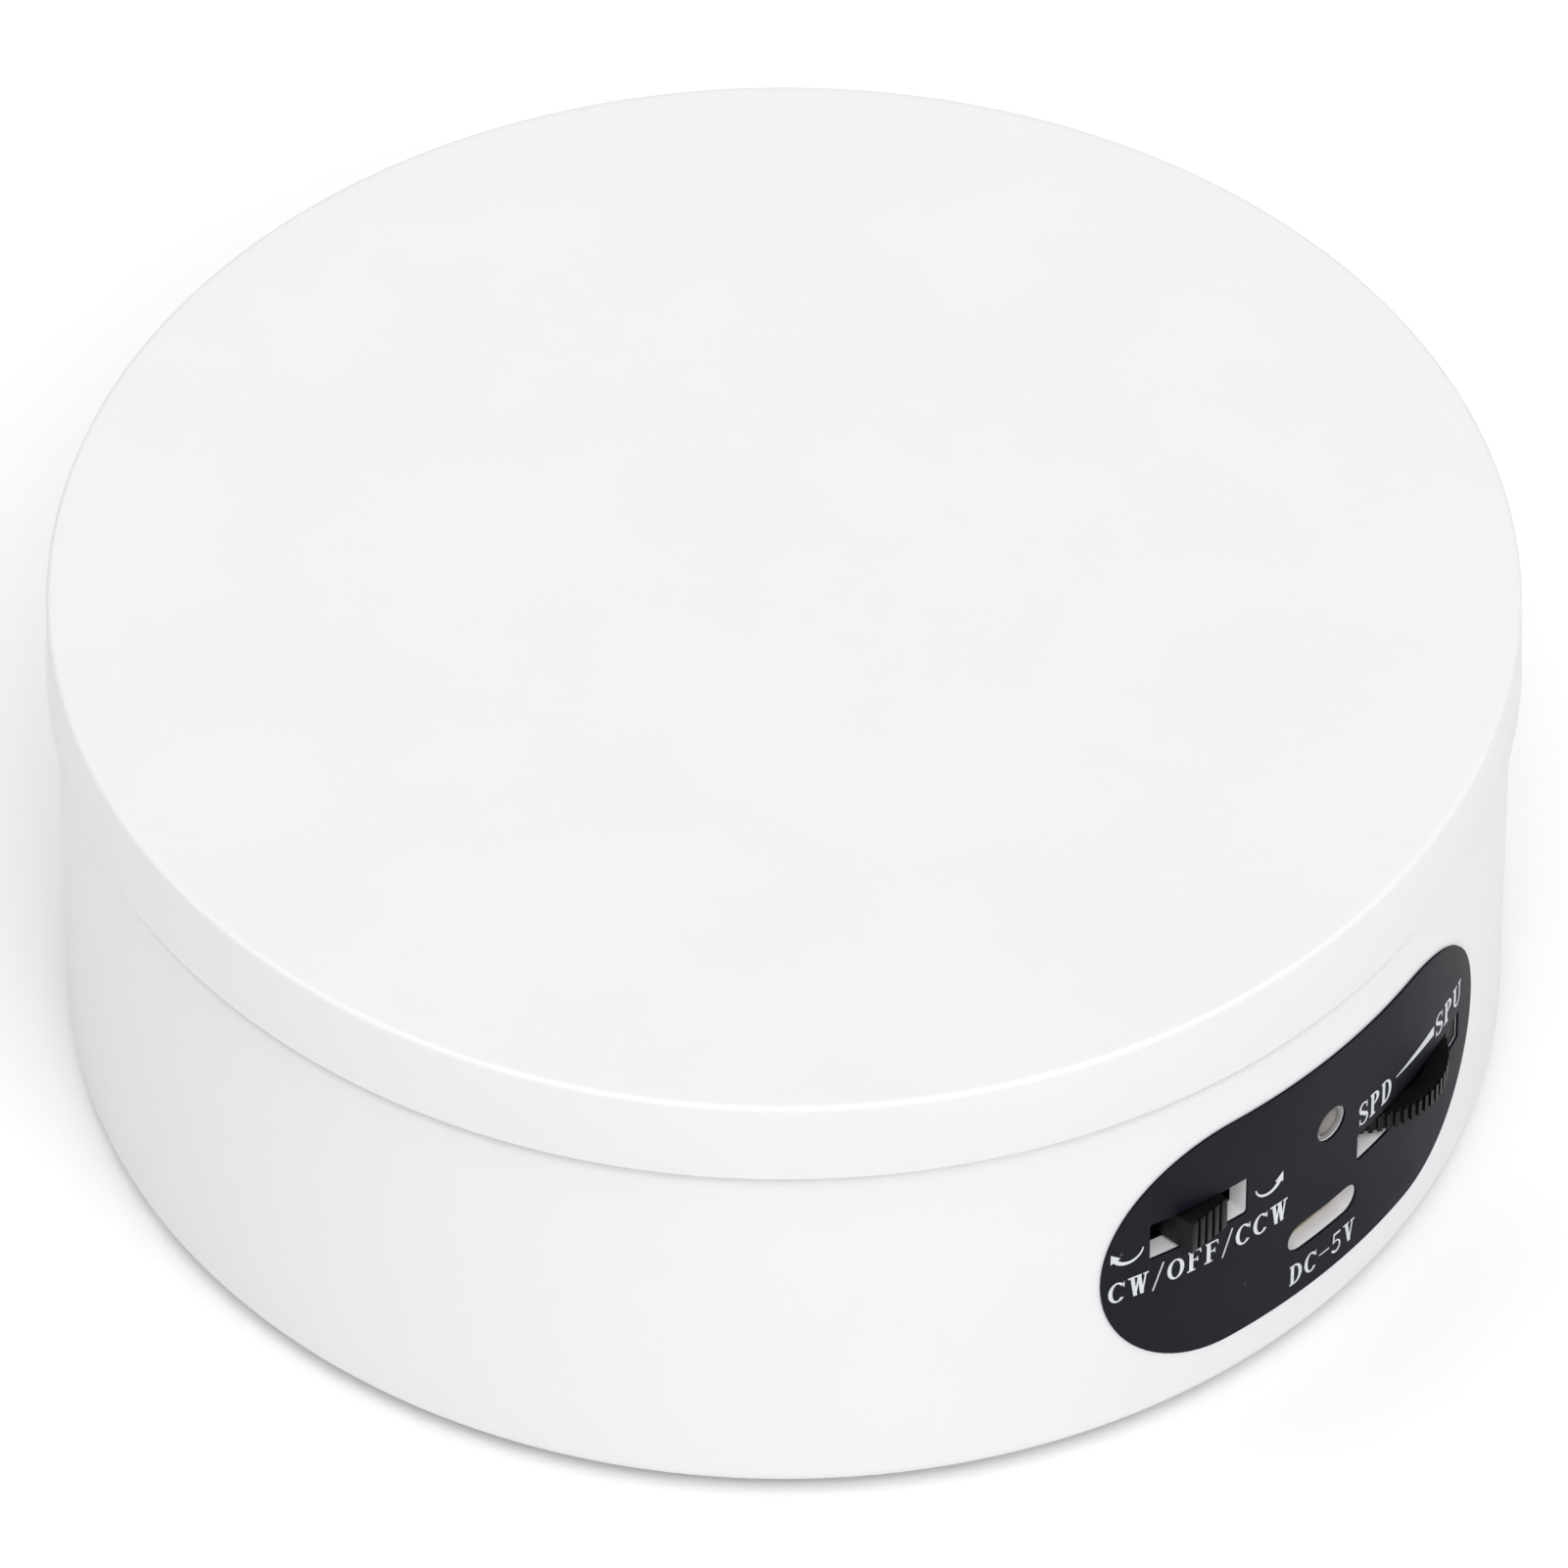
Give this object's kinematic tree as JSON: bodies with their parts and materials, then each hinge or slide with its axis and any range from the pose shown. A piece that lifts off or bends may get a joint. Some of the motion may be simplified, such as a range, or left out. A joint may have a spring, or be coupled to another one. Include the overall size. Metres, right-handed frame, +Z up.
{
  "type": "motorised pottery wheel",
  "caption": "Small motorised pottery wheel: round platter turning on a white drum base, with a direction switch, speed thumbwheel, power light and USB-C socket.",
  "frame": {"origin": "on the surface it stands on, under the platter's centre", "axes": "+Z up along the platter's axis; the control panel faces -Y; +X to the right for someone facing the panel"},
  "size_m": [0.1466, 0.1467, 0.055],
  "materials": {
    "white_plastic": "semi-gloss moulded white ABS",
    "label_film": "satin charcoal polyester label with light grey print",
    "black_plastic": "fine satin black moulding",
    "foot_rubber": "matt black rubber",
    "gear_plastic": "natural acetal",
    "brass": "turned brass",
    "steel": "plated steel",
    "screw_steel": "zinc-plated steel",
    "board_laminate": "green solder mask",
    "led_lens": "milky diffused lens, unlit",
    "lead_red": "red PVC insulation",
    "lead_black": "black PVC insulation"
  },
  "bodies": {
    "base": {"base_housing": "white_plastic", "bottom_cover": "white_plastic", "cover_screw_1": "screw_steel", "cover_screw_2": "screw_steel", "cover_screw_3": "screw_steel", "cover_screw_4": "screw_steel", "rubber_foot_1": "foot_rubber", "rubber_foot_2": "foot_rubber", "rubber_foot_3": "foot_rubber", "rubber_foot_4": "foot_rubber", "control_label": "label_film", "circuit_board": "board_laminate", "board_screw_1": "screw_steel", "board_screw_2": "screw_steel", "usb_c_shell": "steel", "usb_c_insert": "black_plastic", "power_led": "led_lens", "led_lead_1": "steel", "led_lead_2": "steel", "direction_switch_body": "steel", "speed_pot_body": "black_plastic", "motor_can": "steel", "motor_end_cap": "black_plastic", "motor_screw_1": "screw_steel", "motor_screw_2": "screw_steel", "motor_lead_red": "lead_red", "motor_lead_black": "lead_black", "gear_plate": "steel", "plate_screw_1": "screw_steel", "plate_screw_2": "screw_steel", "plate_screw_3": "screw_steel", "upper_bush": "brass", "lower_bush": "brass", "first_gear_axle": "steel", "second_gear_axle": "steel", "roller_axle_1": "steel", "roller_axle_2": "steel", "roller_axle_3": "steel", "roller_axle_4": "steel"},
    "platter": {"platter": "white_plastic", "track_ring": "steel", "drive_hub": "gear_plastic", "hub_screw_1": "screw_steel", "hub_screw_2": "screw_steel", "hub_screw_3": "screw_steel", "output_shaft": "steel", "output_gear": "gear_plastic"},
    "second_gear": {"second_gear": "gear_plastic"},
    "first_gear": {"first_gear": "gear_plastic"},
    "rotor": {"motor_pinion": "brass", "motor_shaft": "steel"},
    "roller_1": {"support_roller_1": "gear_plastic"},
    "roller_2": {"support_roller_2": "gear_plastic"},
    "roller_3": {"support_roller_3": "gear_plastic"},
    "roller_4": {"support_roller_4": "gear_plastic"},
    "direction_knob": {"direction_knob": "black_plastic"},
    "speed_wheel": {"speed_wheel": "black_plastic"}
  },
  "joints": [
    {"name": "platter_spin", "type": "hinge", "parent": "base", "child": "platter", "pos_m": [0, 0, 0.05], "axis": [0, 0, 1], "continuous": true},
    {"name": "second_gear_spin", "type": "hinge", "parent": "base", "child": "second_gear", "pos_m": [-0.02078, 0.012, 0.03], "axis": [0, 0, 1], "continuous": true},
    {"name": "first_gear_spin", "type": "hinge", "parent": "base", "child": "first_gear", "pos_m": [-0.00381, 0.02897, 0.027], "axis": [0, 0, 1], "continuous": true},
    {"name": "motor_spin", "type": "hinge", "parent": "base", "child": "rotor", "pos_m": [0.01874, 0.02076, 0.02], "axis": [0, 0, 1], "continuous": true},
    {"name": "roller_1_spin", "type": "hinge", "parent": "base", "child": "roller_1", "pos_m": [0.052, 0, 0.0454], "axis": [1, 0, 0], "continuous": true},
    {"name": "roller_2_spin", "type": "hinge", "parent": "base", "child": "roller_2", "pos_m": [0, 0.052, 0.0454], "axis": [0, 1, 0], "continuous": true},
    {"name": "roller_3_spin", "type": "hinge", "parent": "base", "child": "roller_3", "pos_m": [-0.052, 0, 0.0454], "axis": [-1, 0, 0], "continuous": true},
    {"name": "roller_4_spin", "type": "hinge", "parent": "base", "child": "roller_4", "pos_m": [0, -0.052, 0.0454], "axis": [0, -1, 0], "continuous": true},
    {"name": "direction_slide", "type": "slide", "parent": "base", "child": "direction_knob", "axis": [1, 0, 0], "range_m": [-0.0028, 0.0028]},
    {"name": "speed_turn", "type": "hinge", "parent": "base", "child": "speed_wheel", "pos_m": [0.01354, -0.06388, 0.0216], "axis": [0, 0, 1], "range_deg": [-135, 135]}
  ],
  "couplings": [
    {"joint": "second_gear_spin", "follows": "platter_spin", "ratio": -4},
    {"joint": "first_gear_spin", "follows": "platter_spin", "ratio": 16},
    {"joint": "motor_spin", "follows": "platter_spin", "ratio": -64},
    {"joint": "roller_1_spin", "follows": "platter_spin", "ratio": -10.4},
    {"joint": "roller_2_spin", "follows": "platter_spin", "ratio": -10.4},
    {"joint": "roller_3_spin", "follows": "platter_spin", "ratio": -10.4},
    {"joint": "roller_4_spin", "follows": "platter_spin", "ratio": -10.4}
  ]
}
